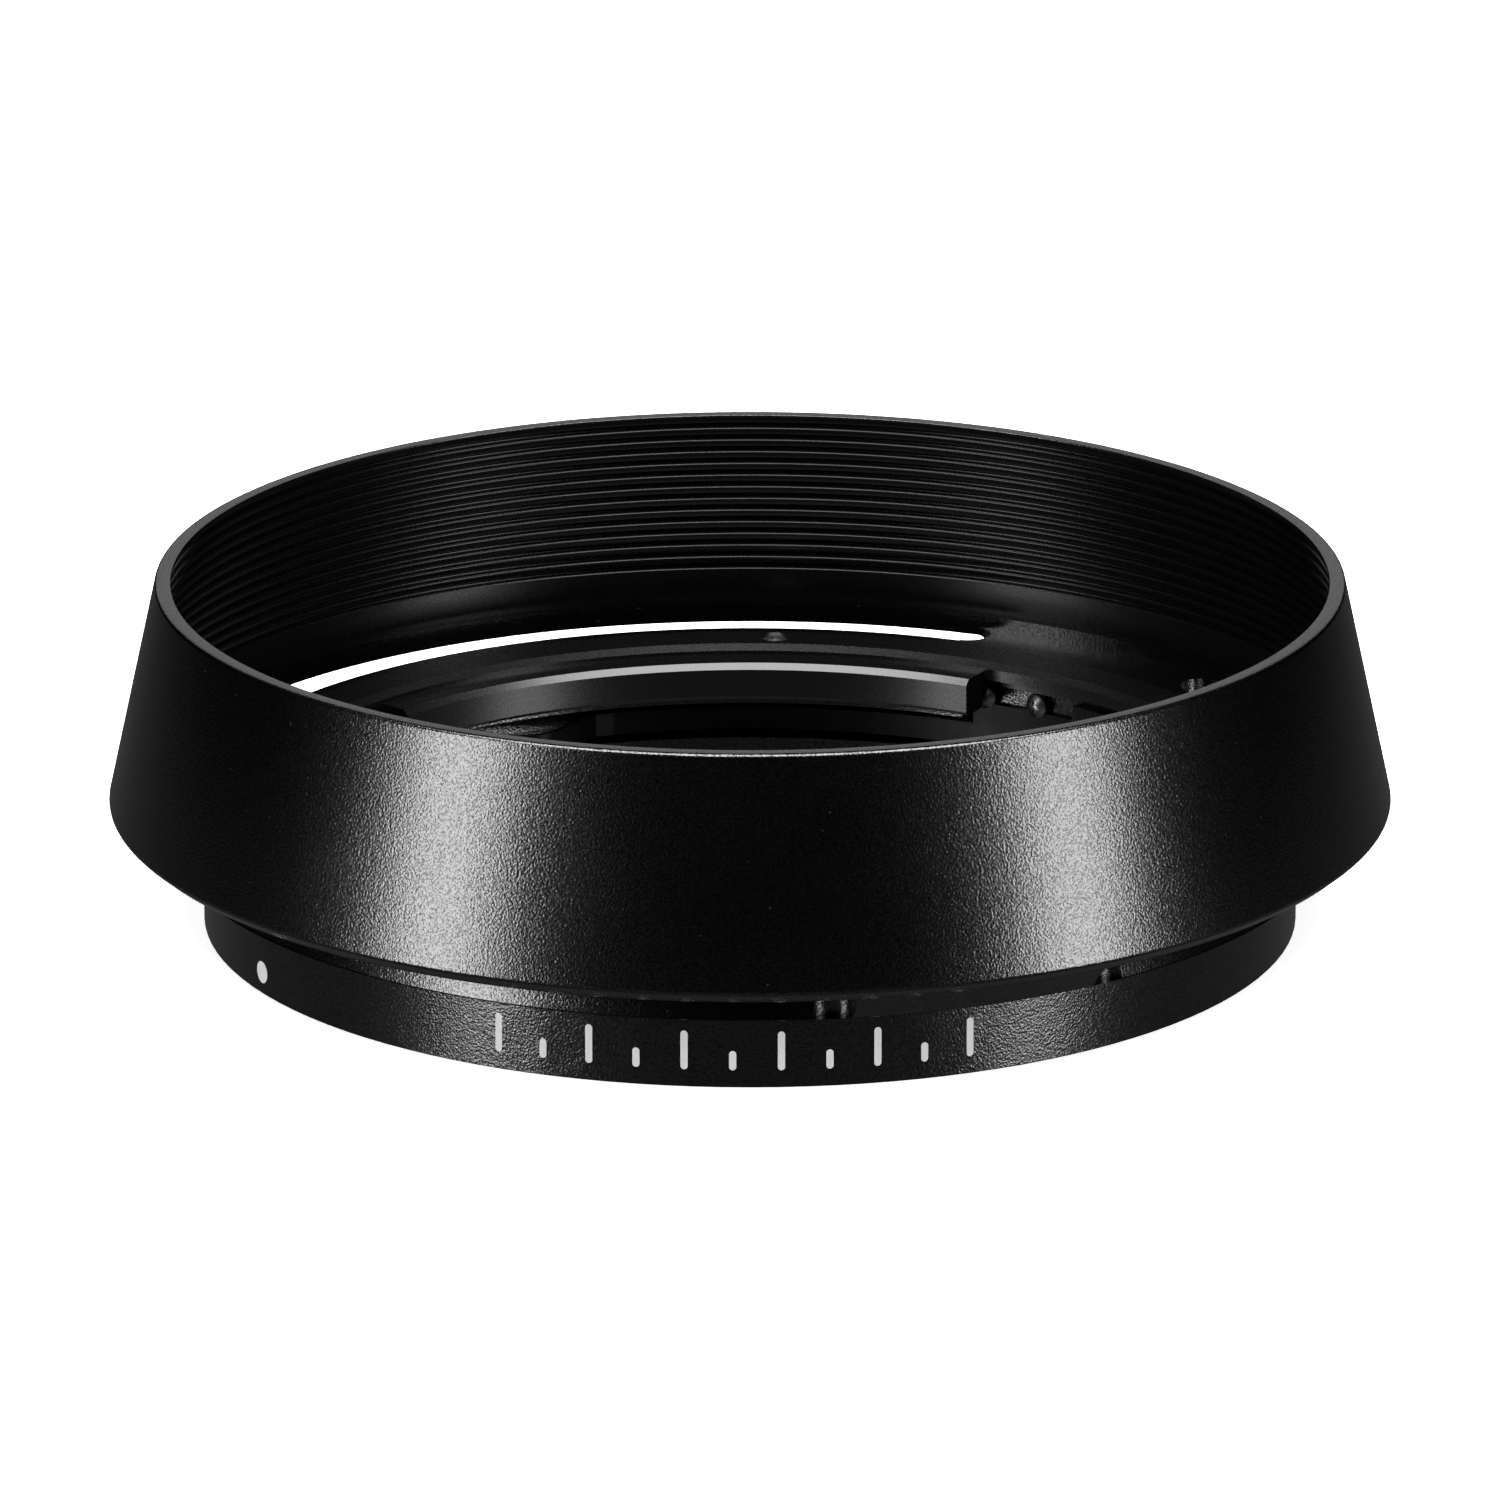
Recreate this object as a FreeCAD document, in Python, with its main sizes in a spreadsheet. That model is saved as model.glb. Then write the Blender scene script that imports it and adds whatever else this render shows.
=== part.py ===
import FreeCAD, Part
import math
import os
import Sketcher

from FreeCAD import Placement, Rotation, Vector

# Vented metal bayonet lens hood.  The origin is the centre of the lens-side face, +Z points to
# the front rim, and every length is in millimetres.  Angles run from +X towards +Y.

doc = FreeCAD.newDocument("lens_hood")

# ---------------------------------------------------------------- driving dimensions
DIMENSIONS = [
    # the conical shade
    ("hood_height", 17.8),          # lens-side face to front rim
    ("rim_radius", 30.0),
    ("rim_wall", 0.8),
    ("rim_edge", 0.12),             # chamfer on both rim edges
    ("skirt_radius", 32.5),         # widest circle
    ("skirt_height", 6.35),
    ("foot_radius", 31.75),         # bevel under the skirt ends here
    ("foot_height", 5.75),
    ("skirt_round", 0.12),
    # anti-reflection ridges inside the shade
    ("ridge_count", 13),
    ("ridge_pitch", 0.684),
    ("ridge_crest", 0.22),
    ("ridge_depth", 0.24),
    ("ridge_start", 8.75),
    # the flange that the shade is screwed onto
    ("seat_bottom", 5.95),
    ("seat_top", 7.0),
    ("seat_wall", 0.63),
    # the mount ring
    ("ring_radius", 27.72),         # the straight face that carries the engraving
    ("ring_face_top", 3.4),
    ("ring_top_radius", 29.2),      # the sharp edge of the overhang above it
    ("ring_top", 3.97),
    ("ring_edge", 0.06),
    ("counterbore_radius", 26.75),
    ("counterbore_depth", 1.2),
    ("bore_radius", 25.3),
    ("shoulder_height", 5.0),       # seat of the bayonet ring
    ("floor_height", 6.35),
    ("recess_radius", 27.85),
    # three long vents with round ends
    ("vent_count", 3),
    ("vent_middle_angle", 112.5),
    ("vent_span", 95.0),            # from round end to round end
    ("vent_inner_foot", 29.05),
    ("vent_inner_top", 28.45),
    ("vent_round", 1.175),
    # bayonet ring
    ("flange_bevel_radius", 25.7),  # the bevel from the floor down to the inner edge
    ("flange_inner_radius", 25.2),
    ("flange_inner_top", 6.1),
    ("flange_lip_bottom", 5.5),     # below the lip the ring is undercut between the lugs
    ("flange_undercut_radius", 25.9),
    ("lug_radius", 23.4),
    ("lug_bottom", 3.95),
    ("lug_top", 5.9),
    ("lug_edge", 0.2),
    ("lug_front_edge", 0.3),
    ("lug_span", 78.0),
    ("lug_middle_angle", 100.2),
    # screws that hold the bayonet ring
    ("clamp_circle", 26.9),
    ("clamp_angle", 87.2),
    ("clamp_shank_radius", 0.45),
    ("clamp_head_radius", 0.78),
    ("clamp_head_height", 0.4),
    ("clamp_length", 2.35),
    # cross recess of every screw
    ("recess_width", 0.17),
    ("recess_reach", 0.36),
    ("recess_depth", 0.16),
    # pockets and leaf springs
    ("pocket_floor", 1.3),
    ("arm_pocket_radius", 27.2),
    ("arm_pocket_top", 3.2),
    ("arm_pocket_start", 63.4),
    ("arm_pocket_end", 125.0),
    ("tab_pocket_radius", 26.42),
    ("tab_pocket_top", 5.0),
    ("tab_pocket_start", 48.5),
    ("leaf_thickness", 0.25),
    ("leaf_radius", 26.2),
    ("leaf_bottom", 1.5),
    ("leaf_top", 2.7),
    ("tab_top", 3.9),
    ("tab_start", 50.2),
    ("tab_end", 63.3),
    ("tab_ear_radius", 0.68),       # round ears of the tab around its screws
    ("arm_end", 106.0),
    ("click_radius", 23.75),
    ("click_angle", 117.0),
    ("leaf_tip_radius", 25.0),
    ("leaf_tip_angle", 122.0),
    ("tab_hole_radius", 0.45),
    # screws that hold the leaf springs
    ("tab_screw_height", 4.28),
    ("tab_screw_first", 54.8),
    ("tab_screw_second", 61.7),
    ("tab_screw_seat", 25.97),
    ("tab_screw_head_radius", 0.62),
    ("tab_screw_head_height", 0.35),
    ("tab_screw_shank_radius", 0.4),
    ("tab_screw_length", 1.45),
    # white filled engraving on the ring face
    ("fill_depth", 0.15),
    ("dot_angle", 208.6),
    ("dot_height", 1.15),
    ("dot_radius", 0.56),
    ("tick_count", 11),
    ("tick_first_angle", 243.6),
    ("tick_last_angle", 292.9),
    ("tick_width", 0.36),
    ("tick_bottom", 0.9),
    ("tick_tall_top", 2.9),
    ("tick_short_top", 1.9),
]

sheet = doc.addObject("Spreadsheet::Sheet", "sizes")
for row, (alias, number) in enumerate(DIMENSIONS, start=1):
    sheet.set("A%d" % row, alias)
    sheet.set("B%d" % row, str(number))
    sheet.setAlias("B%d" % row, alias)
doc.recompute()


def number(text):
    """The number that an expression on the sheet gives."""
    result = sheet.evalExpression(text)
    return float(getattr(result, "Value", result))


CONE_SLOPE = "(sizes.skirt_radius - sizes.rim_radius) / (sizes.hood_height - sizes.skirt_height)"


def inner_cone(height):
    """The radius of the shade's inner cone at a height."""
    return "sizes.rim_radius - sizes.rim_wall + (sizes.hood_height - (%s)) * %s" % (height, CONE_SLOPE)


# ---------------------------------------------------------------- sketch and feature helpers
def new_body(label, loose_solids=False):
    body = doc.addObject("PartDesign::Body", label)
    body.Label = label
    body.AllowCompound = loose_solids
    return body


def origin_feature(body, role):
    return next(item for item in body.Origin.OriginFeatures if item.Role == role)


def attached_sketch(body, name, role, spin_axis, angle):
    sketch = body.newObject("Sketcher::SketchObject", name)
    sketch.AttachmentSupport = [(origin_feature(body, role), "")]
    sketch.MapMode = "FlatFace"
    sketch.AttachmentOffset = Placement(Vector(), Rotation(spin_axis, number(angle)))
    sketch.setExpression("AttachmentOffset.Rotation.Angle", angle)
    return sketch


def section_sketch(body, name, angle="0"):
    """A sketch in the plane of the Z axis turned to an angle: x is the radius, y the height."""
    return attached_sketch(body, name, "XZ_Plane", Vector(0, 1, 0), angle)


def level_sketch(body, name, angle, height):
    """A level sketch at a height whose x axis points along an angle."""
    sketch = attached_sketch(body, name, "XY_Plane", Vector(0, 0, 1), angle)
    sketch.setExpression("AttachmentOffset.Base.z", height)
    return sketch


def radial_sketch(body, name, angle, radius):
    """An upright sketch that faces outward at an angle and a radius: x is sideways, y the height."""
    sketch = attached_sketch(body, name, "YZ_Plane", Vector(0, 1, 0), angle)
    sketch.setExpression("AttachmentOffset.Base.x", "(%s) * sin(%s)" % (radius, angle))
    sketch.setExpression("AttachmentOffset.Base.z", "(%s) * cos(%s)" % (radius, angle))
    return sketch


def bind(sketch, kind, *arguments):
    """Add a constraint whose last argument is an expression, and bind it to the sheet."""
    expression = arguments[-1]
    index = sketch.addConstraint(Sketcher.Constraint(kind, *arguments[:-1], number(expression)))
    sketch.setExpression("Constraints[%d]" % index, expression)


def place_point(sketch, line, end, across, up):
    bind(sketch, "DistanceX", -1, 1, line, end, across)
    bind(sketch, "DistanceY", -1, 1, line, end, up)


def polygon(sketch, corners):
    """A closed outline whose corners are pairs of expressions."""
    points = [Vector(number(across), number(up), 0) for across, up in corners]
    first = sketch.GeometryCount
    for start, end in zip(points, points[1:] + points[:1]):
        sketch.addGeometry(Part.LineSegment(start, end))
    for place, (across, up) in enumerate(corners):
        previous = first + (place - 1) % len(corners)
        sketch.addConstraint(Sketcher.Constraint("Coincident", previous, 2, first + place, 1))
        place_point(sketch, first + place, 1, across, up)


def circle(sketch, across, up, radius):
    centre = Vector(number(across), number(up), 0)
    index = sketch.addGeometry(Part.Circle(centre, Vector(0, 0, 1), number(radius)))
    bind(sketch, "Radius", index, radius)
    place_point(sketch, index, 3, across, up)


def turn(body, name, sketch, sweep="360", groove=False):
    """Revolve a section about the Z axis, or cut it away, evenly either side of its plane."""
    kind = "PartDesign::Groove" if groove else "PartDesign::Revolution"
    feature = body.newObject(kind, name)
    feature.Profile = sketch
    feature.ReferenceAxis = (origin_feature(body, "Z_Axis"), [""])
    feature.Midplane = True
    feature.Angle = number(sweep)
    feature.setExpression("Angle", sweep)
    body.Tip = feature
    return feature


def push(body, name, sketch, length, pocket=False, reverse=False):
    """Pad a sketch along its normal, or pocket it against its normal, by a length."""
    feature = body.newObject("PartDesign::Pocket" if pocket else "PartDesign::Pad", name)
    feature.Profile = sketch
    feature.Length = number(length)
    feature.setExpression("Length", length)
    feature.Reversed = reverse
    body.Tip = feature
    return feature


def repeat(body, name, features, count="sizes.vent_count"):
    """Repeat features evenly round the Z axis."""
    pattern = body.newObject("PartDesign::PolarPattern", name)
    pattern.Originals = features
    pattern.Axis = (origin_feature(body, "Z_Axis"), [""])
    pattern.Angle = 360
    pattern.Occurrences = int(number(count))
    pattern.setExpression("Occurrences", count)
    body.Tip = pattern
    return pattern


def expect_change(before, feature, grows):
    """Stop if a cut removed nothing or a pad added nothing."""
    doc.recompute()
    change = feature.Shape.Volume - before
    if change * (1 if grows else -1) < 1e-4:
        raise RuntimeError("%s changed the volume by %g" % (feature.Name, change))
    return feature.Shape.Volume


# ---------------------------------------------------------------- conical shade
def make_shade():
    """A spun cone with a wall of even thickness and a ladder of fine ridges inside."""
    body = new_body("shade_shell")
    ridge_end = "sizes.ridge_start + sizes.ridge_count * sizes.ridge_pitch"
    corners = [
        ("sizes.foot_radius", "sizes.foot_height"),
        ("sizes.skirt_radius", "sizes.skirt_height"),
        ("sizes.rim_radius + sizes.rim_edge * 0.25", "sizes.hood_height - sizes.rim_edge"),
        ("sizes.rim_radius - sizes.rim_edge", "sizes.hood_height"),
        ("sizes.rim_radius - sizes.rim_wall", "sizes.hood_height"),
        (inner_cone(ridge_end), ridge_end),
    ]
    for ridge in reversed(range(int(number("sizes.ridge_count")))):
        base = "(sizes.ridge_start + %d * sizes.ridge_pitch)" % ridge
        crest = "%s + sizes.ridge_pitch - sizes.ridge_crest" % base
        valley = "%s + (sizes.ridge_pitch - sizes.ridge_crest) / 2" % base
        corners.append((inner_cone(crest), crest))
        corners.append(("%s + sizes.ridge_depth" % inner_cone(valley), valley))
        corners.append((inner_cone(base), base))
    corners.append((inner_cone("sizes.seat_top"), "sizes.seat_top"))
    corners.append((inner_cone("sizes.seat_top"), "sizes.seat_bottom"))
    sketch = section_sketch(body, "shade_section")
    polygon(sketch, corners)
    turn(body, "shade_turned", sketch)
    doc.recompute()
    round_circle(body, "skirt_round", "sizes.skirt_radius", "sizes.skirt_height", "sizes.skirt_round")
    return body


def round_circle(body, name, radius, height, rounding):
    """Fillet the level circular edge that has a given radius and height."""
    solid = body.Tip
    found = []
    for index, edge in enumerate(solid.Shape.Edges, start=1):
        curve = edge.Curve
        if not isinstance(curve, Part.Circle):
            continue
        if abs(curve.Radius - number(radius)) < 1e-3 and abs(curve.Center.z - number(height)) < 1e-3:
            found.append("Edge%d" % index)
    fillet = body.newObject("PartDesign::Fillet", name)
    fillet.Base = (solid, found)
    fillet.Radius = number(rounding)
    fillet.setExpression("Radius", rounding)
    body.Tip = fillet
    doc.recompute()


# ---------------------------------------------------------------- vented base
def make_base():
    """The mount ring, its web and the flange for the shade, turned from one piece, then vented."""
    body = new_body("base_blank")
    seat_radius = inner_cone("sizes.seat_top")
    lip_radius = "%s - sizes.seat_wall" % seat_radius
    sketch = section_sketch(body, "base_section")
    polygon(sketch, [
        ("sizes.counterbore_radius + sizes.ring_edge", "0"),
        ("sizes.ring_radius - sizes.ring_edge", "0"),
        ("sizes.ring_radius", "sizes.ring_edge"),
        ("sizes.ring_radius", "sizes.ring_face_top"),
        ("sizes.ring_top_radius", "sizes.ring_top"),
        (lip_radius, "sizes.seat_bottom"),
        (seat_radius, "sizes.seat_bottom"),
        (seat_radius, "sizes.seat_top"),
        (lip_radius, "sizes.seat_top"),
        (lip_radius, "sizes.floor_height"),
        ("sizes.recess_radius", "sizes.floor_height"),
        ("sizes.recess_radius", "sizes.shoulder_height"),
        ("sizes.bore_radius", "sizes.shoulder_height"),
        ("sizes.bore_radius", "sizes.counterbore_depth"),
        ("sizes.counterbore_radius", "sizes.counterbore_depth"),
        ("sizes.counterbore_radius", "sizes.ring_edge"),
    ])
    blank = turn(body, "base_turned", sketch)
    doc.recompute()
    volume = blank.Shape.Volume

    # vents: a curved groove with a round pocket at each end, repeated round the axis
    vent_height = "sizes.hood_height"
    middle_radius = "(%s - sizes.vent_round)" % lip_radius
    half_span = "(sizes.vent_span / 2 * 1 deg - asin(sizes.vent_round / %s))" % middle_radius
    vent = section_sketch(body, "vent_section", "sizes.vent_middle_angle")
    polygon(vent, [
        ("sizes.vent_inner_foot", "sizes.ring_top"),
        ("sizes.vent_inner_top", "sizes.floor_height + 0.01"),
        ("sizes.vent_inner_top", vent_height),
        (lip_radius, vent_height),
        (lip_radius, "sizes.ring_top"),
    ])
    groove = turn(body, "vent_groove", vent, "2 * %s" % half_span, groove=True)
    volume = expect_change(volume, groove, grows=False)
    ends = level_sketch(body, "vent_end_circles", "sizes.vent_middle_angle", vent_height)
    for side in ("1", "-1"):
        circle(ends, "%s * cos(%s)" % (middle_radius, half_span),
               "%s * %s * sin(%s)" % (side, middle_radius, half_span), "sizes.vent_round")
    end_pocket = push(body, "vent_ends", ends, "%s - sizes.ring_top" % vent_height, pocket=True)
    volume = expect_change(volume, end_pocket, grows=False)
    volume = expect_change(volume, repeat(body, "vents", [groove, end_pocket]), grows=False)

    # pockets for the leaf springs: a deep one for the arm and a shallow, taller one for the tab
    for name, outer, top, start, end in (
            ("arm", "sizes.arm_pocket_radius", "sizes.arm_pocket_top",
             "sizes.arm_pocket_start", "sizes.arm_pocket_end"),
            ("tab", "sizes.tab_pocket_radius", "sizes.tab_pocket_top",
             "sizes.tab_pocket_start", "(sizes.arm_pocket_start + 0.5)")):
        pocket = section_sketch(body, name + "_pocket_section", "(%s + %s) / 2" % (start, end))
        polygon(pocket, [
            ("sizes.bore_radius - 1", "sizes.pocket_floor"),
            (outer, "sizes.pocket_floor"),
            (outer, top),
            ("sizes.bore_radius - 1", top),
        ])
        cut = turn(body, name + "_pocket", pocket, "%s - %s" % (end, start), groove=True)
        volume = expect_change(volume, cut, grows=False)
        volume = expect_change(volume, repeat(body, name + "_pockets", [cut]), grows=False)

    # tapped holes for the tab screws and for the screws of the bayonet ring
    for place in ("first", "second"):
        hole = radial_sketch(body, "tab_hole_%s_circle" % place, "sizes.tab_screw_" + place,
                             "sizes.tab_screw_seat")
        circle(hole, "0", "sizes.tab_screw_height", "sizes.tab_screw_shank_radius")
        drilled = push(body, "tab_hole_" + place, hole, "sizes.tab_screw_length",
                       pocket=True, reverse=True)
        volume = expect_change(volume, drilled, grows=False)
        volume = expect_change(volume, repeat(body, "tab_holes_" + place, [drilled]), grows=False)
    tapped = level_sketch(body, "clamp_hole_circle", "sizes.clamp_angle", "sizes.floor_height")
    circle(tapped, "sizes.clamp_circle", "0", "sizes.clamp_shank_radius")
    drilled = push(body, "clamp_hole", tapped, "sizes.clamp_length", pocket=True)
    volume = expect_change(volume, drilled, grows=False)
    expect_change(volume, repeat(body, "clamp_holes", [drilled]), grows=False)
    return body


# ---------------------------------------------------------------- bayonet ring
def make_bayonet_ring():
    """A flanged ring that drops into the base from the front and carries three inward lugs."""
    body = new_body("bayonet_ring")
    sketch = section_sketch(body, "flange_section")
    polygon(sketch, [
        ("sizes.flange_undercut_radius", "sizes.shoulder_height"),
        ("sizes.recess_radius", "sizes.shoulder_height"),
        ("sizes.recess_radius", "sizes.floor_height"),
        ("sizes.flange_bevel_radius", "sizes.floor_height"),
        ("sizes.flange_inner_radius", "sizes.flange_inner_top"),
        ("sizes.flange_inner_radius", "sizes.flange_lip_bottom"),
        ("sizes.flange_undercut_radius", "sizes.flange_lip_bottom"),
    ])
    flange = turn(body, "flange_turned", sketch)
    doc.recompute()
    volume = flange.Shape.Volume
    lug = section_sketch(body, "lug_section", "sizes.lug_middle_angle")
    polygon(lug, [
        ("sizes.lug_radius", "sizes.lug_bottom + sizes.lug_edge"),
        ("sizes.lug_radius + sizes.lug_edge", "sizes.lug_bottom"),
        ("sizes.flange_inner_radius", "sizes.lug_bottom"),
        ("sizes.flange_inner_radius", "sizes.shoulder_height"),
        ("sizes.flange_undercut_radius + 0.3", "sizes.shoulder_height"),
        ("sizes.flange_undercut_radius + 0.3", "sizes.lug_top"),
        ("sizes.lug_radius + sizes.lug_front_edge", "sizes.lug_top"),
        ("sizes.lug_radius", "sizes.lug_top - sizes.lug_front_edge"),
    ])
    first = turn(body, "lug_turned", lug, "sizes.lug_span")
    volume = expect_change(volume, first, grows=True)
    volume = expect_change(volume, repeat(body, "lugs", [first]), grows=True)
    shank = level_sketch(body, "clamp_shank_circle", "sizes.clamp_angle", "sizes.floor_height")
    circle(shank, "sizes.clamp_circle", "0", "sizes.clamp_shank_radius")
    through = push(body, "clamp_clearance", shank, "sizes.clamp_length", pocket=True)
    volume = expect_change(volume, through, grows=False)
    head = level_sketch(body, "clamp_head_circle", "sizes.clamp_angle", "sizes.floor_height")
    circle(head, "sizes.clamp_circle", "0", "sizes.clamp_head_radius")
    sunk = push(body, "clamp_seat", head, "sizes.clamp_head_height", pocket=True)
    volume = expect_change(volume, sunk, grows=False)
    expect_change(volume, repeat(body, "clamp_holes_in_ring", [through, sunk]), grows=False)
    return body


def cross_recess(body, name, sketch, across, up, reverse):
    """The cross for a screwdriver, sunk into the middle of a screw head."""
    corners = []
    for quarter in ((1, 1), (-1, 1), (-1, -1), (1, -1)):
        sides = [("recess_reach", "recess_width / 2"), ("recess_width / 2", "recess_width / 2"),
                 ("recess_width / 2", "recess_reach")]
        if quarter[0] * quarter[1] < 0:
            sides.reverse()
        for x_size, y_size in sides:
            corners.append(("%s + %d * sizes.%s" % (across, quarter[0], x_size),
                            "%s + %d * sizes.%s" % (up, quarter[1], y_size)))
    polygon(sketch, corners)
    return push(body, name, sketch, "sizes.recess_depth", pocket=True, reverse=reverse)


def make_bayonet_ring_screws():
    """Three screws whose heads lie flush with the floor of the hood."""
    body = new_body("bayonet_ring_screws", loose_solids=True)
    shank = level_sketch(body, "shank_circle", "sizes.clamp_angle", "sizes.floor_height")
    circle(shank, "sizes.clamp_circle", "0", "sizes.clamp_shank_radius")
    stem = push(body, "shank", shank, "sizes.clamp_length", reverse=True)
    head = level_sketch(body, "head_circle", "sizes.clamp_angle", "sizes.floor_height")
    circle(head, "sizes.clamp_circle", "0", "sizes.clamp_head_radius")
    cap = push(body, "head", head, "sizes.clamp_head_height", reverse=True)
    outline = level_sketch(body, "recess_outline", "sizes.clamp_angle", "sizes.floor_height")
    recess = cross_recess(body, "recess", outline, "sizes.clamp_circle", "0", reverse=False)
    repeat(body, "screws", [stem, cap, recess])
    return body


def make_spring_screws():
    """Two cheese-head screws for each leaf spring, all six alike."""
    body = new_body("spring_screws", loose_solids=True)
    made = []
    for place in ("first", "second"):
        angle = "sizes.tab_screw_" + place
        shank = radial_sketch(body, "shank_circle_" + place, angle, "sizes.tab_screw_seat")
        circle(shank, "0", "sizes.tab_screw_height", "sizes.tab_screw_shank_radius")
        made.append(push(body, "shank_" + place, shank, "sizes.tab_screw_length"))
        head = radial_sketch(body, "head_circle_" + place, angle, "sizes.tab_screw_seat")
        circle(head, "0", "sizes.tab_screw_height", "sizes.tab_screw_head_radius")
        made.append(push(body, "head_" + place, head, "sizes.tab_screw_head_height", reverse=True))
        outline = radial_sketch(body, "recess_outline_" + place, angle,
                                "(sizes.tab_screw_seat - sizes.tab_screw_head_height)")
        made.append(cross_recess(body, "recess_" + place, outline,
                                 "0", "sizes.tab_screw_height", reverse=True))
    repeat(body, "screws_round_the_ring", made)
    return body


# ---------------------------------------------------------------- leaf springs
def polar(radius, angle, height=0.0):
    turned = math.radians(angle)
    return Vector(radius * math.cos(turned), radius * math.sin(turned), height)


def leaf_outline(start, end, clicks):
    """The centre line of the leaf: an arc, and where it clicks a hump that points inward."""
    radius = number("sizes.leaf_radius")
    middle = (start + end) / 2
    edges = [Part.Arc(polar(radius, start), polar(radius, middle), polar(radius, end)).toShape()]
    if clicks:
        crest = polar(number("sizes.click_radius"), number("sizes.click_angle"))
        tip = polar(number("sizes.leaf_tip_radius"), number("sizes.leaf_tip_angle"))
        knee = polar(radius - 0.05, end + 2.2)
        ramp_end = crest + (knee - crest) * 0.22
        lead_out = crest + (tip - crest) * 0.35
        bend = Part.Arc(ramp_end, crest + (ramp_end + lead_out - crest * 2) * 0.28, lead_out)
        edges.append(Part.LineSegment(polar(radius, end), knee).toShape())
        edges.append(Part.LineSegment(knee, ramp_end).toShape())
        edges.append(bend.toShape())
        edges.append(Part.LineSegment(lead_out, tip).toShape())
    return Part.Wire(edges)


def strip(start, end, bottom, top, clicks=False):
    """A strip of sheet stood on edge along the leaf's centre line."""
    flat = leaf_outline(start, end, clicks).makeOffset2D(
        number("sizes.leaf_thickness") / 2, 0, False, False, False)
    face = Part.Face(flat)
    face.translate(Vector(0, 0, bottom))
    return face.extrude(Vector(0, 0, top - bottom))


def make_click_springs():
    """Three leaf springs: a tab held by two screws, and an arm with an inward click at its end."""
    bottom = number("sizes.leaf_bottom")
    tab_start = number("sizes.tab_start")
    tab_end = number("sizes.tab_end")
    arm = strip(tab_start, number("sizes.arm_end"), bottom, number("sizes.leaf_top"), clicks=True)
    tab = strip(tab_start, tab_end, bottom, number("sizes.tab_top"))
    tall = strip(tab_start, tab_end, bottom, number("sizes.tab_pocket_top"))
    leaf = arm.fuse(tab)
    holes = []
    for place in ("first", "second"):
        angle = number("sizes.tab_screw_" + place)
        inner = polar(number("sizes.leaf_radius") - 1, angle, number("sizes.tab_screw_height"))
        ear = Part.makeCylinder(number("sizes.tab_ear_radius"), 2, inner, polar(1, angle))
        leaf = leaf.fuse(tall.common(ear))
        holes.append(Part.makeCylinder(number("sizes.tab_hole_radius"), 2, inner, polar(1, angle)))
    leaf = leaf.cut(Part.makeCompound(holes))
    leaf = leaf.removeSplitter()
    for index in range(int(number("sizes.vent_count"))):
        spring = doc.addObject("Part::Feature", "click_spring_%d" % (index + 1))
        spring.Label = "click_spring_%d" % (index + 1)
        spring.Shape = leaf
        spring.Placement = Placement(Vector(), Rotation(Vector(0, 0, 1), 120 * index))
        springs.append(spring)


# ---------------------------------------------------------------- white filled engraving
def ring_face_skin():
    """The thin layer of the ring face that the engraving takes out."""
    radius = number("sizes.ring_radius")
    height = number("sizes.ring_face_top")
    whole = Part.makeCylinder(radius, height)
    core = Part.makeCylinder(radius - number("sizes.fill_depth"), height)
    return whole.cut(core)


def engraved(label, cutters):
    fill = doc.addObject("Part::Feature", label)
    fill.Label = label
    fill.Shape = ring_face_skin().common(Part.makeCompound(cutters))
    fill.Placement = Placement()
    return fill


def radial_rod(radius, angle, height):
    inner = polar(number("sizes.bore_radius"), angle, height)
    return Part.makeCylinder(radius, 6, inner, polar(1, angle))


def make_index_dot():
    """The round mark that is lined up with the mark on the lens."""
    return engraved("index_dot", [radial_rod(
        number("sizes.dot_radius"), number("sizes.dot_angle"), number("sizes.dot_height"))])


def make_index_ticks():
    """A plain scale of tall and short strokes with round ends, cut by a ball-nosed tool."""
    count = int(number("sizes.tick_count"))
    first = number("sizes.tick_first_angle")
    step = (number("sizes.tick_last_angle") - first) / (count - 1)
    width = number("sizes.tick_width")
    bottom = number("sizes.tick_bottom") + width / 2
    strokes = []
    for index in range(count):
        angle = first + step * index
        name = "tall" if index % 2 == 0 else "short"
        top = number("sizes.tick_%s_top" % name) - width / 2
        bar = Part.makeBox(6, width, top - bottom, Vector(number("sizes.bore_radius"), -width / 2, bottom))
        bar.rotate(Vector(), Vector(0, 0, 1), angle)
        stroke = bar.multiFuse([radial_rod(width / 2, angle, end) for end in (bottom, top)])
        strokes.append(stroke.removeSplitter())
    return engraved("index_ticks", strokes)


# ---------------------------------------------------------------- build, check and write
springs = []
shade = make_shade()
blank = make_base()
ring = make_bayonet_ring()
ring_screws = make_bayonet_ring_screws()
spring_screws = make_spring_screws()
make_click_springs()
dot = make_index_dot()
ticks = make_index_ticks()

engraving = doc.addObject("Part::Compound", "engraving")
engraving.Links = [dot, ticks]
base = doc.addObject("Part::Cut", "vented_base")
base.Label = "vented_base"
base.Base = blank
base.Tool = engraving
doc.recompute()

for item in doc.Objects:
    if "Invalid" in item.State or "Error" in item.State:
        raise RuntimeError("%s is %s" % (item.Label, item.State))

os.makedirs("parts", exist_ok=True)
for node in [shade, base, ring, ring_screws, spring_screws, dot, ticks] + springs:
    shape = node.Shape
    if shape.isNull() or not shape.isValid() or not shape.Solids:
        raise RuntimeError("%s has no sound solid" % node.Label)
    shape.exportStep("parts/%s.step" % node.Label)
    box = shape.BoundBox
    print("%-20s %d solids %9.3f mm3  z %.2f to %.2f  across %.2f" % (
        node.Label, len(shape.Solids), shape.Volume, box.ZMin, box.ZMax, box.XLength))
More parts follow.
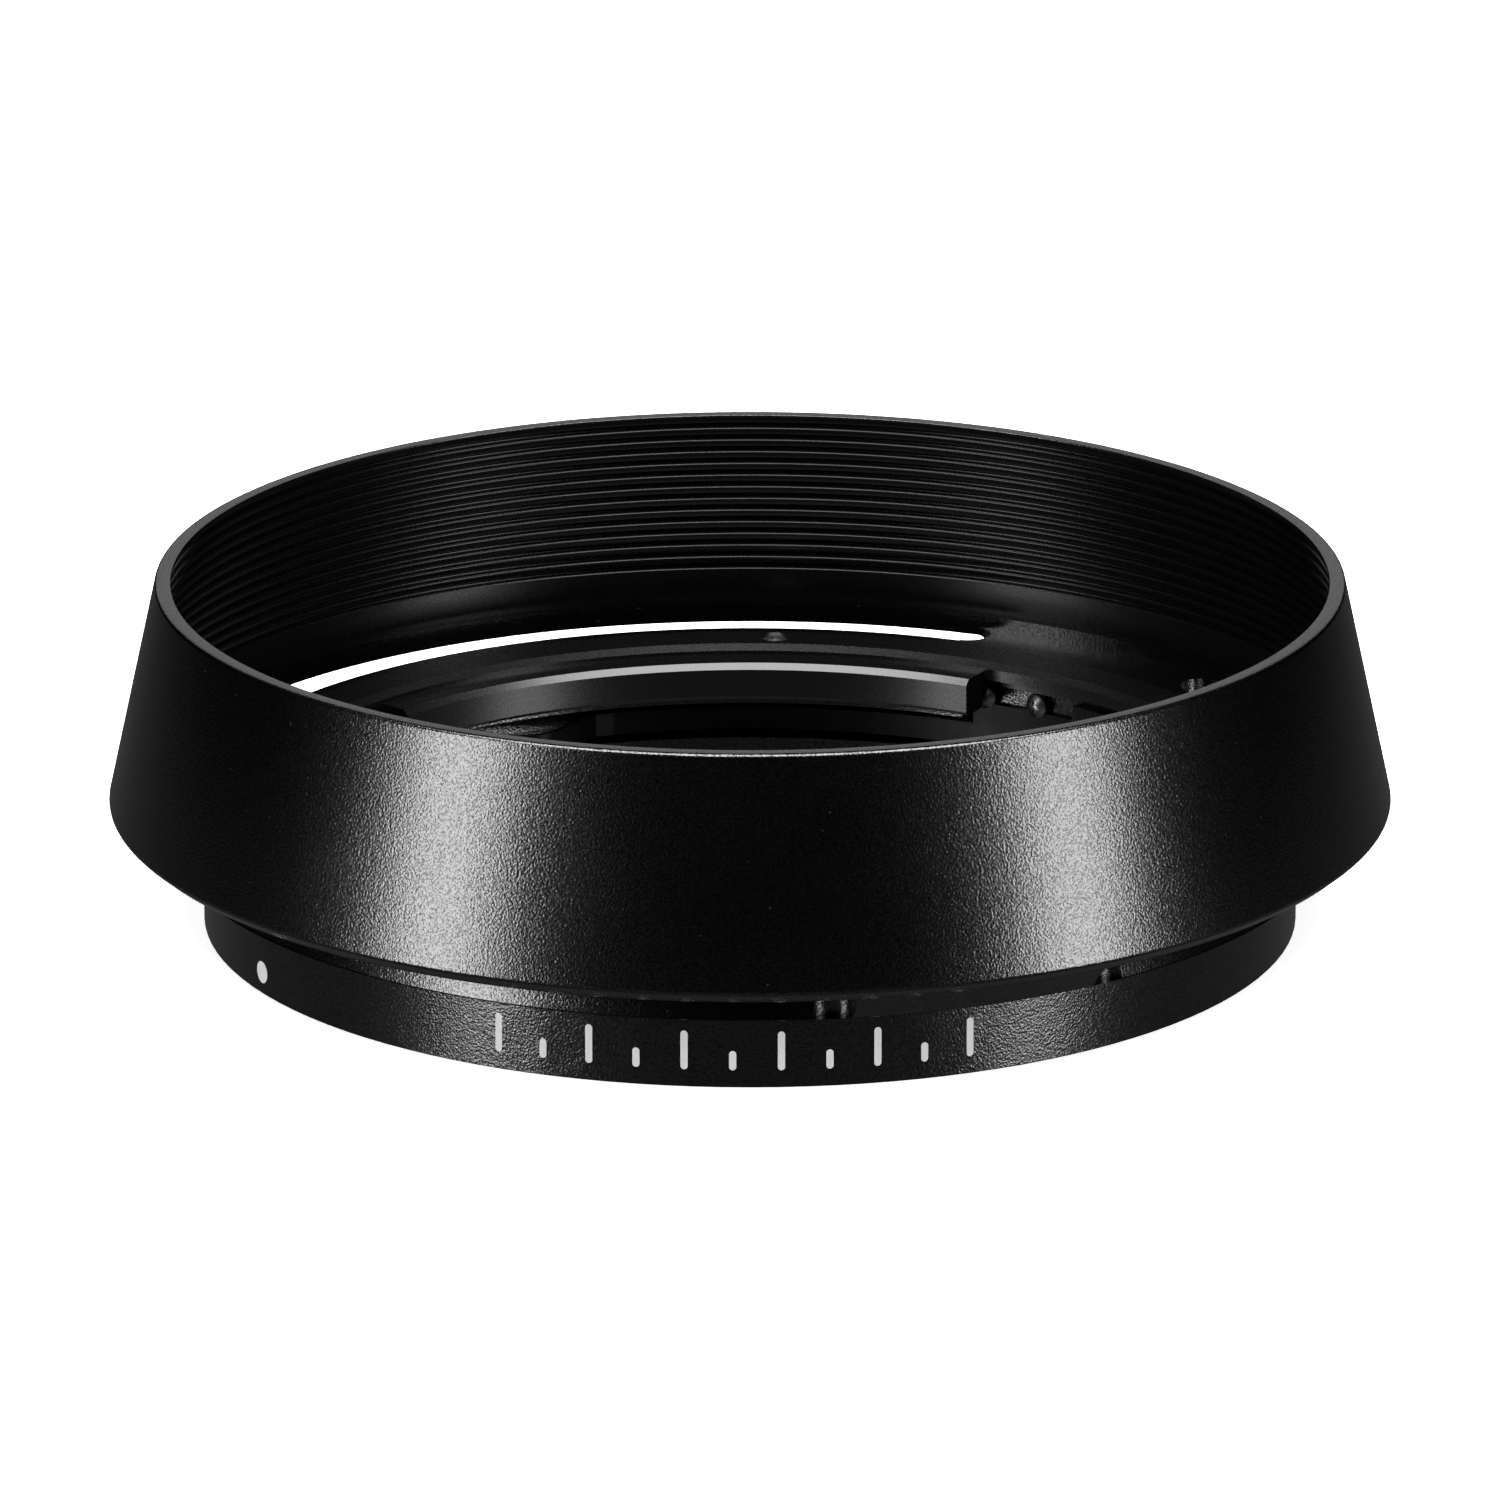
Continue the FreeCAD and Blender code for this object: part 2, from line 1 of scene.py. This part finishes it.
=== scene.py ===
# %% [markdown]
# # A vented lens hood, dressed for its portrait
# The mechanical model of the hood is already finished: a conical shade, a vented base, a bayonet
# ring with three lugs, leaf springs and screws. Blender's job is the looks. We load the model as a
# fixed frame, build the pieces that need finer shapes than the mechanical model has, and give each
# one the finish of the real metal. Lengths are in metres, so MM turns millimetres into metres.

import math

import bmesh
import bpy
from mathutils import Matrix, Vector


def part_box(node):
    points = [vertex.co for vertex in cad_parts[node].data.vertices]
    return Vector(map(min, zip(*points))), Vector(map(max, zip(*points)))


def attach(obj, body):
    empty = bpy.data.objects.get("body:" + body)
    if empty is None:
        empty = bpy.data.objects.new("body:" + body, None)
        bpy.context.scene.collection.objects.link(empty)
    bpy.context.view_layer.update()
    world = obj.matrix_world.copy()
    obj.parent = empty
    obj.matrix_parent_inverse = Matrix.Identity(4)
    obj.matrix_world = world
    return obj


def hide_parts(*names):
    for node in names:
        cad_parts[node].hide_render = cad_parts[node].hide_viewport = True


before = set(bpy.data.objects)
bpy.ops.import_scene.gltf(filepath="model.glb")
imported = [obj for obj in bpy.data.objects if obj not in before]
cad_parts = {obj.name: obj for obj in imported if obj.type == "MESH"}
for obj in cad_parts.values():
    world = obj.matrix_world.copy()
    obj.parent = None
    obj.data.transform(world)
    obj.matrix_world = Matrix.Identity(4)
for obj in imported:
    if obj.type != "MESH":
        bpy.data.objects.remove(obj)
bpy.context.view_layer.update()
MM = 0.001

# %% [markdown]
# ## Shader sums as plain expressions
# A shader is a graph of nodes, and a long sum drawn as nodes is hard to read. A small class can
# wrap one output socket and overload the arithmetic signs, so that `1 - mask * 0.4` adds the
# Math nodes by itself. Everything that isn't a sum comes from one method, `node`, which takes the
# type of the node, its settings and what goes into its sockets.


# %% Wires
class Wire:
    """The output socket of a node, for use in expressions."""

    def __init__(self, graph, socket):
        self.graph = graph
        self.socket = socket

    def math(self, operation, first, second):
        return self.graph.node("ShaderNodeMath", {"operation": operation}, {0: first, 1: second})

    def __add__(self, other):
        return self.math("ADD", self, other)

    def __radd__(self, other):
        return self.math("ADD", other, self)

    def __sub__(self, other):
        return self.math("SUBTRACT", self, other)

    def __rsub__(self, other):
        return self.math("SUBTRACT", other, self)

    def __mul__(self, other):
        return self.math("MULTIPLY", self, other)

    def __rmul__(self, other):
        return self.math("MULTIPLY", other, self)


# %% Graphs of nodes, and finishes
class Graph:
    """A node tree that is filled by one method."""

    def __init__(self, tree):
        self.tree = tree

    def node(self, kind, settings=None, sockets=None, output=0):
        made = self.tree.nodes.new(kind)
        for name, setting in (settings or {}).items():
            if name == "stops":
                self.set_stops(made.color_ramp, setting)
            else:
                setattr(made, name, setting)
        for name, given in (sockets or {}).items():
            self.feed(made.inputs[name], given)
        return Wire(self, made.outputs[output]) if made.outputs else None

    def set_stops(self, ramp, stops):
        while len(ramp.elements) < len(stops):
            ramp.elements.new(1.0)
        for element, (place, grey) in zip(ramp.elements, stops):
            element.position = place
            element.color = (grey, grey, grey, 1.0)

    def feed(self, socket, given):
        if isinstance(given, Wire):
            self.tree.links.new(given.socket, socket)
        else:
            socket.default_value = given


class Finish(Graph):
    """A material with a Principled shader whose inputs are filled in by name."""

    def __init__(self, name, **inputs):
        self.material = bpy.data.materials.new(name)
        self.material.use_nodes = True
        super().__init__(self.material.node_tree)
        self.tree.nodes.clear()
        surface = self.node("ShaderNodeBsdfPrincipled")
        self.shader = surface.socket.node
        self.node("ShaderNodeOutputMaterial", None, {"Surface": surface})
        self.set(**inputs)

    def set(self, **inputs):
        for name, given in inputs.items():
            self.feed(self.shader.inputs[name.replace("_", " ")], given)

    def mixed(self, amount, first, second):
        """A colour between two, by an amount that varies over the surface."""
        return self.node("ShaderNodeMix", {"data_type": "RGBA"}, {0: amount, 6: first, 7: second}, 2)

    def bump(self, height, depth, under=None):
        sockets = {"Strength": 1.0, "Distance": depth, "Height": height}
        if under is not None:
            sockets["Normal"] = under
        return self.node("ShaderNodeBump", None, sockets)


# %% [markdown]
# ## Noise of a known size
# A Noise texture has features about one over its scale apart. Asking for a spacing in millimetres
# keeps the numbers honest: a grain of blasted metal is a tenth of a millimetre, a patch of uneven
# handling is several millimetres. Object coordinates carry the size onto every side of a piece,
# where a picture wrapped round it would stretch.


# %% Grain, specks and turning lines
def grain(finish, spacing, detail=2.0, roughness=0.5):
    place = finish.node("ShaderNodeTexCoord", output="Object")
    return finish.node("ShaderNodeTexNoise", {"noise_dimensions": "3D"}, {
        "Vector": place, "Scale": 1.0 / spacing, "Detail": detail, "Roughness": roughness})


def ramp(finish, value, *stops):
    return finish.node("ShaderNodeValToRGB", {"stops": list(stops)}, {"Fac": value})


def turning_lines(finish, spacing):
    """Fine rings left by a lathe tool: noise that changes with radius and height, not with angle."""
    place = finish.node("ShaderNodeTexCoord", output="Object")
    flat = finish.node("ShaderNodeVectorMath", {"operation": "MULTIPLY"}, {0: place, 1: (1, 1, 0)})
    radius = finish.node("ShaderNodeVectorMath", {"operation": "LENGTH"}, {0: flat}, "Value")
    height = finish.node("ShaderNodeSeparateXYZ", None, {0: place}, "Z")
    return finish.node("ShaderNodeTexNoise", {"noise_dimensions": "2D"}, {
        "Vector": finish.node("ShaderNodeCombineXYZ", None, {0: radius, 1: height}),
        "Scale": 1.0 / spacing, "Detail": 3.0, "Roughness": 0.6})


# %% [markdown]
# ## Black blasted aluminium
# The outside is blasted with fine glass beads and then anodised black. Anodising is a thin, hard,
# glassy layer over a black dye, so almost nothing comes back except the mirror-like part: a very
# dark base colour with a higher index of refraction than plastic. Blasting leaves dimples a tenth
# of a millimetre wide. Each one tilts the surface by a few degrees, so a bump breaks the highlight
# up into a fine sparkle. Some dimples also mirror less than others. Black metal mirrors almost
# nothing, so a little Metallic in a fine noise dulls them, like grains of pepper between salt.
# Over that lies a slow change of roughness, and a rare speck of dust.


# %% Black finishes
DUST = (0.05, 0.05, 0.048, 1)


def black_metal(name, tone, roughness, relief, index, dusty=0.0, dulled=0.0):
    """Dyed black metal; relief is a function of the finish that yields (height, depth) pairs."""
    finish = Finish(name, IOR=index)
    patches = grain(finish, 7 * MM, detail=3.0)
    fine = grain(finish, 0.19 * MM)
    normal = None
    for height, depth in relief(finish):
        normal = finish.bump(height, depth, normal)
    deep = (tone, tone, tone, 1)
    faded = (tone * 1.8, tone * 1.8, tone * 1.9, 1)
    colour = finish.mixed(patches, deep, faded)
    if dusty:
        dust = ramp(finish, grain(finish, 0.28 * MM, detail=0.0), (0.86, 0.0), (0.90, dusty))
        colour = finish.mixed(dust, colour, DUST)
    if dulled:
        dimples = grain(finish, 0.1 * MM, detail=0.0)
        finish.set(Metallic=ramp(finish, dimples, (0.45, 0.0), (0.68, dulled)))
    finish.set(Base_Color=colour, Normal=normal,
               Roughness=roughness + (patches - 0.5) * 0.04 + (fine - 0.5) * 0.06)
    return finish.material


def blasted(finish):
    yield grain(finish, 0.12 * MM, detail=1.0), 0.0165 * MM


def satin(finish):
    yield grain(finish, 0.12 * MM, detail=1.0), 0.003 * MM


def turned(finish):
    yield turning_lines(finish, 0.09 * MM), 0.0012 * MM
    yield grain(finish, 0.2 * MM), 0.001 * MM


blasted_black = black_metal("blasted_black", 0.0002, 0.20, blasted, 1.83, dusty=0.4, dulled=0.5)
inside_black = black_metal("matt_inside_black", 0.0008, 0.28, satin, 1.34)
turned_black = black_metal("turned_black", 0.0006, 0.27, turned, 1.6)
print("made", blasted_black.name, inside_black.name, turned_black.name)

# %% [markdown]
# ## Steel and enamel
# The screws are blackened steel whose finish is rubbed thin on the heads, and the leaf springs are
# blued spring steel. The marks on the mount ring are engraved and filled with white enamel, which
# dries a little uneven.

# %% Steel and enamel
blued_steel = Finish("blued_spring_steel", Metallic=1.0)
blued_steel.set(
    Base_Color=blued_steel.mixed(
        grain(blued_steel, 2 * MM), (0.008, 0.008, 0.0085, 1), (0.02, 0.02, 0.021, 1)),
    Roughness=0.30 + grain(blued_steel, 0.25 * MM) * 0.12,
    Normal=blued_steel.bump(grain(blued_steel, 0.12 * MM), 0.001 * MM))
screw_steel = Finish("blackened_screw_steel", Metallic=1.0)
screw_steel.set(
    Base_Color=screw_steel.mixed(
        ramp(screw_steel, grain(screw_steel, 0.5 * MM, detail=3.0), (0.35, 0.0), (0.7, 1.0)),
        (0.12, 0.12, 0.122, 1), (0.42, 0.42, 0.425, 1)),
    Roughness=0.26 + grain(screw_steel, 0.15 * MM) * 0.14,
    Normal=screw_steel.bump(grain(screw_steel, 0.1 * MM), 0.0015 * MM))
enamel = Finish("white_enamel", IOR=1.5)
enamel.set(
    Base_Color=enamel.mixed(grain(enamel, 0.3 * MM), (0.74, 0.74, 0.72, 1), (0.92, 0.92, 0.90, 1)),
    Roughness=0.34 + grain(enamel, 0.2 * MM) * 0.14,
    Normal=enamel.bump(grain(enamel, 0.22 * MM), 0.004 * MM))
print("made", blued_steel.material.name, screw_steel.material.name, enamel.material.name)

# %% [markdown]
# ## Dress the nodes
# A node of the mechanical model whose shape is right stays, and gets a better material. Real metal
# has no perfectly sharp edge: each one is broken by a few hundredths of a millimetre, and catches a
# hairline of light. A Bevel modifier on the sharp edges adds that without changing the size. The
# enamel lies flush in its engraving, so its edges stay as they are.

# %% Materials and broken edges
SHARPEST_FLAT = math.radians(32)
# the finish of each node, and the width of its broken edges in millimetres
DRESS = {
    "vented_base": (blasted_black, 0.045),
    "bayonet_ring": (turned_black, 0.05),
    "click_spring_1": (blued_steel.material, 0.02),
    "click_spring_2": (blued_steel.material, 0.02),
    "click_spring_3": (blued_steel.material, 0.02),
    "index_dot": (enamel.material, 0),
    "index_ticks": (enamel.material, 0),
}


def break_edges(piece, width):
    bevel = piece.modifiers.new("broken_edges", "BEVEL")
    bevel.width = width
    bevel.segments = 2
    bevel.limit_method = "ANGLE"
    bevel.angle_limit = SHARPEST_FLAT
    bevel.use_clamp_overlap = True
    bevel.harden_normals = False


for node, (material, edge) in DRESS.items():
    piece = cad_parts[node]
    piece.data.materials.clear()
    piece.data.materials.append(material)
    if edge:
        break_edges(piece, edge * MM)
print("dressed", len(DRESS), "nodes")

# %% [markdown]
# ## The shade
# On the real hood the shade is spun on a lathe, so the quickest way to a faithful one is a lathe
# too: one outline in the plane of radius and height, carried round the axis in small steps. The
# mechanical model has square corners and V-shaped grooves. Here the corners get small arcs, and the
# grooves inside follow a cosine between flat lands, as a round-nosed tool would leave them.

# %% Outline helpers
RIM_RADIUS = 30.0
RIM_WALL = 0.8
SKIRT_HEIGHT = 6.35
FOOT_RADIUS = 31.75
SEAT_TOP = 7.0
GROOVES = 13
GROOVE_PITCH = 0.684
GROOVE_START = 8.75
GROOVE_LAND = 0.22
GROOVE_DEPTH = 0.24
GROOVE_SAMPLES = 10
MOUTH_CHAMFER = 0.12
FOOT_ROUND = 0.06
SKIRT_ROUND = 0.16
RIM_OUTER_ROUND = 0.2
RIM_INNER_ROUND = 0.07
FOOT_SLANT = 0.2        # the inner edge of the foot is this much higher than the outer one
shade_low, shade_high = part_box("shade_shell")
SKIRT_RADIUS = shade_high[0] / MM
SHADE_TOP = shade_high[2] / MM
SHADE_FOOT = shade_low[2] / MM
CONE_SLOPE = (SKIRT_RADIUS - RIM_RADIUS) / (SHADE_TOP - SKIRT_HEIGHT)
print("shade", SKIRT_RADIUS, "mm in radius, from", SHADE_FOOT, "to", SHADE_TOP)


def inner_cone(height):
    return RIM_RADIUS - RIM_WALL + (SHADE_TOP - height) * CONE_SLOPE


def soften(corners, pieces=4):
    """Replace each (radius, height, rounding) corner by a small arc, drawn as a curve through it."""
    outline = []
    for place, (radius, height, rounding) in enumerate(corners):
        corner = Vector((radius, height))
        before = Vector(corners[place - 1][:2]) - corner
        after = Vector(corners[(place + 1) % len(corners)][:2]) - corner
        if rounding == 0:
            outline.append(corner)
            continue
        start = corner + before.normalized() * rounding
        end = corner + after.normalized() * rounding
        for step in range(pieces + 1):
            t = step / pieces
            outline.append(start * (1 - t) ** 2 + corner * 2 * t * (1 - t) + end * t ** 2)
    return [(point.x, point.y) for point in outline]


def grooves():
    """The grooved inner wall from the top down, as points of radius and height."""
    valley = GROOVE_PITCH - GROOVE_LAND
    for number in reversed(range(GROOVES)):
        base = GROOVE_START + number * GROOVE_PITCH
        yield inner_cone(base + GROOVE_PITCH), base + GROOVE_PITCH
        for step in reversed(range(GROOVE_SAMPLES + 1)):
            height = base + valley * step / GROOVE_SAMPLES
            cut = GROOVE_DEPTH * (1 - math.cos(2 * math.pi * step / GROOVE_SAMPLES)) / 2
            yield inner_cone(height) + cut, height


# %% Lathe
def lathe(name, outline, material, steps=420, inside=None, inside_from=0):
    """A closed outline of (radius, height) points in millimetres, carried round the Z axis.

    The stretch of the outline from the point numbered inside_from on may have a finish of its own.
    """
    shape = bmesh.new()
    rings = []
    for step in range(steps):
        turn = 2 * math.pi * step / steps
        x, y = MM * math.cos(turn), MM * math.sin(turn)
        rings.append([shape.verts.new((radius * x, radius * y, height * MM)) for radius, height in outline])
    for here, there in zip(rings, rings[1:] + rings[:1]):
        for place in range(len(outline)):
            after = (place + 1) % len(outline)
            face = shape.faces.new((here[place], there[place], there[after], here[after]))
            face.material_index = int(inside is not None and place >= inside_from)
    bmesh.ops.recalc_face_normals(shape, faces=shape.faces)
    mesh = bpy.data.meshes.new(name)
    shape.to_mesh(mesh)
    shape.free()
    mesh.shade_smooth()
    mesh.set_sharp_from_angle(angle=math.radians(38))
    mesh.materials.append(material)
    if inside is not None:
        mesh.materials.append(inside)
    piece = bpy.data.objects.new(name, mesh)
    bpy.context.scene.collection.objects.link(piece)
    print(name, len(mesh.vertices), "points")
    return piece


# %% The shade itself
shade_outline = soften([
    (FOOT_RADIUS, SHADE_FOOT, FOOT_ROUND),
    (SKIRT_RADIUS, SKIRT_HEIGHT, SKIRT_ROUND),
    (RIM_RADIUS, SHADE_TOP, RIM_OUTER_ROUND),
    (RIM_RADIUS - RIM_WALL, SHADE_TOP, RIM_INNER_ROUND),
    (inner_cone(SHADE_TOP - MOUTH_CHAMFER), SHADE_TOP - MOUTH_CHAMFER, 0),
])
inside_start = len(shade_outline) - 1
shade_outline += list(grooves())
shade_outline += [
    (inner_cone(SEAT_TOP), SEAT_TOP),
    (inner_cone(SEAT_TOP), SHADE_FOOT + FOOT_SLANT),
]
shade = lathe("spun_shade", shade_outline, blasted_black, inside=inside_black, inside_from=inside_start)
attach(shade, "hood")
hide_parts("shade_shell")

# %% [markdown]
# ## Screws
# The little screws have domed heads with a cross recess, and under a softbox each dome shows as a
# dark disc with one bright point in it. A dome is a lathe job again, but the recess isn't round.
# So the head starts as a fine square grid, which has edges exactly where the cross has its sides.
# Every point of the grid inside the cross is lowered, and the rest follow the dome.

# %% One screw head
RECESS_WIDTH = 0.17
RECESS_REACH = 0.30
RECESS_DEPTH = 0.10
RECESS_DRAFT = 0.012


def grid_lines(radius):
    """Positions across a head: even steps, with a close pair of lines at each wall of the cross."""
    half = RECESS_WIDTH / 2
    inner = [half - RECESS_DRAFT, half, RECESS_REACH - RECESS_DRAFT, RECESS_REACH]
    filling = [half / 2, 0.14, 0.2, 0.27]
    side = sorted(value for value in inner + filling if value < radius)
    return [-value for value in reversed(side)] + [0.0] + side


def in_cross(x, y):
    slim = (RECESS_WIDTH - RECESS_DRAFT) / 2
    long = RECESS_REACH - RECESS_DRAFT / 2
    return (abs(x) < slim and abs(y) < long) or (abs(y) < slim and abs(x) < long)


def screw_head(shape, radius, height, dome, place):
    """Add a domed head to a bmesh; place turns a local point into one on the hood."""
    lines = grid_lines(radius * 0.55)

    def surface(x, y):
        lift = height - dome * (x * x + y * y) / (radius * radius)
        return lift - RECESS_DEPTH if in_cross(x, y) else lift

    count = len(lines)
    grid = [[shape.verts.new(place(x, y, surface(x, y))) for y in lines] for x in lines]
    for i in range(count - 1):
        for j in range(count - 1):
            shape.faces.new((grid[i][j], grid[i + 1][j], grid[i + 1][j + 1], grid[i][j + 1]))
    forth = range(count - 1)
    back = range(count - 1, 0, -1)
    border = ([(i, 0) for i in forth] + [(count - 1, j) for j in forth] +
              [(i, count - 1) for i in back] + [(0, j) for j in back])
    turns = [math.atan2(lines[j], lines[i]) for i, j in border]
    loops = [[grid[i][j] for i, j in border]]
    skirt = ((0.8, height - dome * 0.64), (0.92, height - dome * 0.85), (1.0, height - dome), (1.0, 0.0))
    for share, lift in skirt:
        out = radius * share
        loops.append([shape.verts.new(place(out * math.cos(turn), out * math.sin(turn), lift))
                      for turn in turns])
    for inner, outer in zip(loops, loops[1:]):
        for here in range(len(turns)):
            after = (here + 1) % len(turns)
            shape.faces.new((inner[here], inner[after], outer[after], outer[here]))
    shape.faces.new(list(reversed(loops[-1])))


# %% [markdown]
# Each shank is plain, because its thread is out of sight in the metal. The ring screws stand
# upright in the floor of the hood, and the spring screws point outward through the springs' tabs,
# so one function is given the direction that the head faces.

# %% Screws in their places
SCREW_ANGLE = 87.2
SCREW_CIRCLE = 26.9
SCREW_SEAT = 5.95
RING_SCREW_HEAD = (0.77, 0.39, 0.24)        # radius, height and dome
RING_SCREW_SHANK = (0.44, 1.9)              # radius and length
TAB_SCREW_ANGLES = (54.8, 61.7)
TAB_SCREW_SEAT = 25.97
TAB_SCREW_HEIGHT = 4.28
TAB_SCREW_HEAD = (0.61, 0.34, 0.28)
TAB_SCREW_SHANK = (0.39, 1.4)


def shank(shape, radius, length, place, sides=24):
    ends = [[shape.verts.new(place(radius * math.cos(2 * math.pi * side / sides),
                                   radius * math.sin(2 * math.pi * side / sides), lift))
             for side in range(sides)] for lift in (0.0, -length)]
    for side in range(sides):
        after = (side + 1) % sides
        shape.faces.new((ends[0][side], ends[1][side], ends[1][after], ends[0][after]))
    shape.faces.new(ends[0])
    shape.faces.new(list(reversed(ends[1])))


def placer(origin, across, up, facing):
    def place(x, y, lift):
        return (origin + across * x + up * y + facing * lift) * MM
    return place


def screws(name, frames, head, stem):
    shape = bmesh.new()
    for origin, across, up, facing in frames:
        place = placer(origin, across, up, facing)
        screw_head(shape, *head, place)
        shank(shape, *stem, place)
    bmesh.ops.recalc_face_normals(shape, faces=shape.faces)
    mesh = bpy.data.meshes.new(name)
    shape.to_mesh(mesh)
    shape.free()
    mesh.shade_smooth()
    mesh.set_sharp_from_angle(angle=math.radians(42))
    mesh.materials.append(screw_steel.material)
    piece = bpy.data.objects.new(name, mesh)
    bpy.context.scene.collection.objects.link(piece)
    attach(piece, "hood")
    print(name, len(frames), "screws,", len(mesh.polygons), "faces")
    return piece


def around(angle):
    turn = math.radians(angle)
    outward = Vector((math.cos(turn), math.sin(turn), 0))
    return outward, Vector((-outward.y, outward.x, 0))


UP = Vector((0, 0, 1))
upright = []
sideways = []
for third in (0, 120, 240):
    outward, along = around(SCREW_ANGLE + third)
    upright.append((outward * SCREW_CIRCLE + UP * SCREW_SEAT, outward, along, UP))
    for angle in TAB_SCREW_ANGLES:
        outward, along = around(angle + third)
        sideways.append((outward * TAB_SCREW_SEAT + UP * TAB_SCREW_HEIGHT, along, UP, -outward))
ring_screws = screws("domed_ring_screws", upright, RING_SCREW_HEAD, RING_SCREW_SHANK)
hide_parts("bayonet_ring_screws")
tab_screws = screws("domed_spring_screws", sideways, TAB_SCREW_HEAD, TAB_SCREW_SHANK)
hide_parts("spring_screws")

# %% [markdown]
# ## Camera
# A long lens from 0.69 m away, 18 degrees above the table, which keeps the circles of the hood
# nearly free of perspective.


# %% Camera
def spherical(azimuth, elevation, distance):
    """A point around the origin: azimuth 0 is towards -Y, and grows towards +X."""
    across = math.radians(azimuth)
    up = math.radians(elevation)
    level = distance * math.cos(up)
    return Vector((level * math.sin(across), -level * math.cos(across), distance * math.sin(up)))


CAMERA_DISTANCE = 0.6893
CAMERA_ELEVATION = 18.19
CAMERA_PITCH = 17.51
lens = bpy.data.cameras.new("portrait_lens")
lens.sensor_width = 36.0
lens.lens = 325.4
camera = bpy.data.objects.new("portrait_camera", lens)
camera.location = spherical(0, CAMERA_ELEVATION, CAMERA_DISTANCE)
camera.rotation_euler = (math.radians(90 - CAMERA_PITCH), 0, 0)
bpy.context.scene.collection.objects.link(camera)
bpy.context.scene.camera = camera
print("camera at", [round(value, 4) for value in camera.location])

# %% [markdown]
# ## Light
# Black glossy metal shows only what it mirrors, so the lights are placed by reflection. The cone's
# wall leans 12 degrees, and a highlight a third of the way round it asks for a tall softbox twice
# as far round. The softboxes reach down past the table's level, because the upright mount ring
# mirrors what lies below the camera's height. A card behind lights the flat rim, and a wide one
# overhead draws the grooves, the lugs and the heads of the screws.


# %% Softboxes
# azimuth, elevation, distance, width, height, watts
SOFTBOXES = {
    "left_softbox": (-55, 8.5, 0.7, 0.23, 0.62, 3.9),
    "right_softbox": (59, 8.5, 0.7, 0.22, 0.62, 3.5),
    "back_card": (180, 20, 0.8, 0.7, 0.35, 0.38),
    "overhead_card": (0, 77, 0.65, 0.8, 0.56, 13.0),
}
for name, (azimuth, elevation, distance, width, height, watts) in SOFTBOXES.items():
    light = bpy.data.lights.new(name, "AREA")
    light.shape = "RECTANGLE"
    light.size = width
    light.size_y = height
    light.energy = watts
    box = bpy.data.objects.new(name, light)
    box.location = spherical(azimuth, elevation, distance)
    box.rotation_euler = box.location.to_track_quat("Z", "Y").to_euler()
    box.visible_camera = False
    bpy.context.scene.collection.objects.link(box)
print("lit by", ", ".join(SOFTBOXES))

# %% [markdown]
# ## Table and air
# The hood lies on white paper against white. Real paper would be mirrored in the black metal and
# turn it grey, so in a studio it is hidden from the metal with black cards. Here both are
# left out of the reflections instead, and they cast no shadow on the lights below them. A trace of
# the paper does belong there: the world is dim below the level of the table, and black above it.

# %% Paper and surround
bpy.context.scene.view_settings.view_transform = "Standard"
world = bpy.data.worlds.new("studio_air")
world.use_nodes = True
air = Graph(world.node_tree)
height = air.node("ShaderNodeSeparateXYZ", None, {0: air.node("ShaderNodeTexCoord")}, "Z")
air.feed(world.node_tree.nodes["Background"].inputs["Color"], air.node("ShaderNodeMapRange", None, {
    "Value": height, "From Min": -0.30, "From Max": -0.02, "To Min": 0.085, "To Max": 0.002}))
bpy.context.scene.world = world

white = Finish("pale_paper", Base_Color=(0.9, 0.9, 0.9, 1), Roughness=0.9,
               Emission_Color=(1, 1, 1, 1), Emission_Strength=0.8)


def stage_piece(name, shape):
    mesh = bpy.data.meshes.new(name)
    shape.to_mesh(mesh)
    shape.free()
    mesh.materials.append(white.material)
    piece = bpy.data.objects.new(name, mesh)
    bpy.context.scene.collection.objects.link(piece)
    piece.visible_glossy = False
    piece.visible_shadow = False
    piece.visible_diffuse = False


STAGE_RADIUS = 3
floor = bmesh.new()
bmesh.ops.create_grid(floor, x_segments=1, y_segments=1, size=STAGE_RADIUS)
stage_piece("pale_floor", floor)
surround = bmesh.new()
bmesh.ops.create_uvsphere(surround, u_segments=48, v_segments=24, radius=STAGE_RADIUS)
stage_piece("pale_surround", surround)
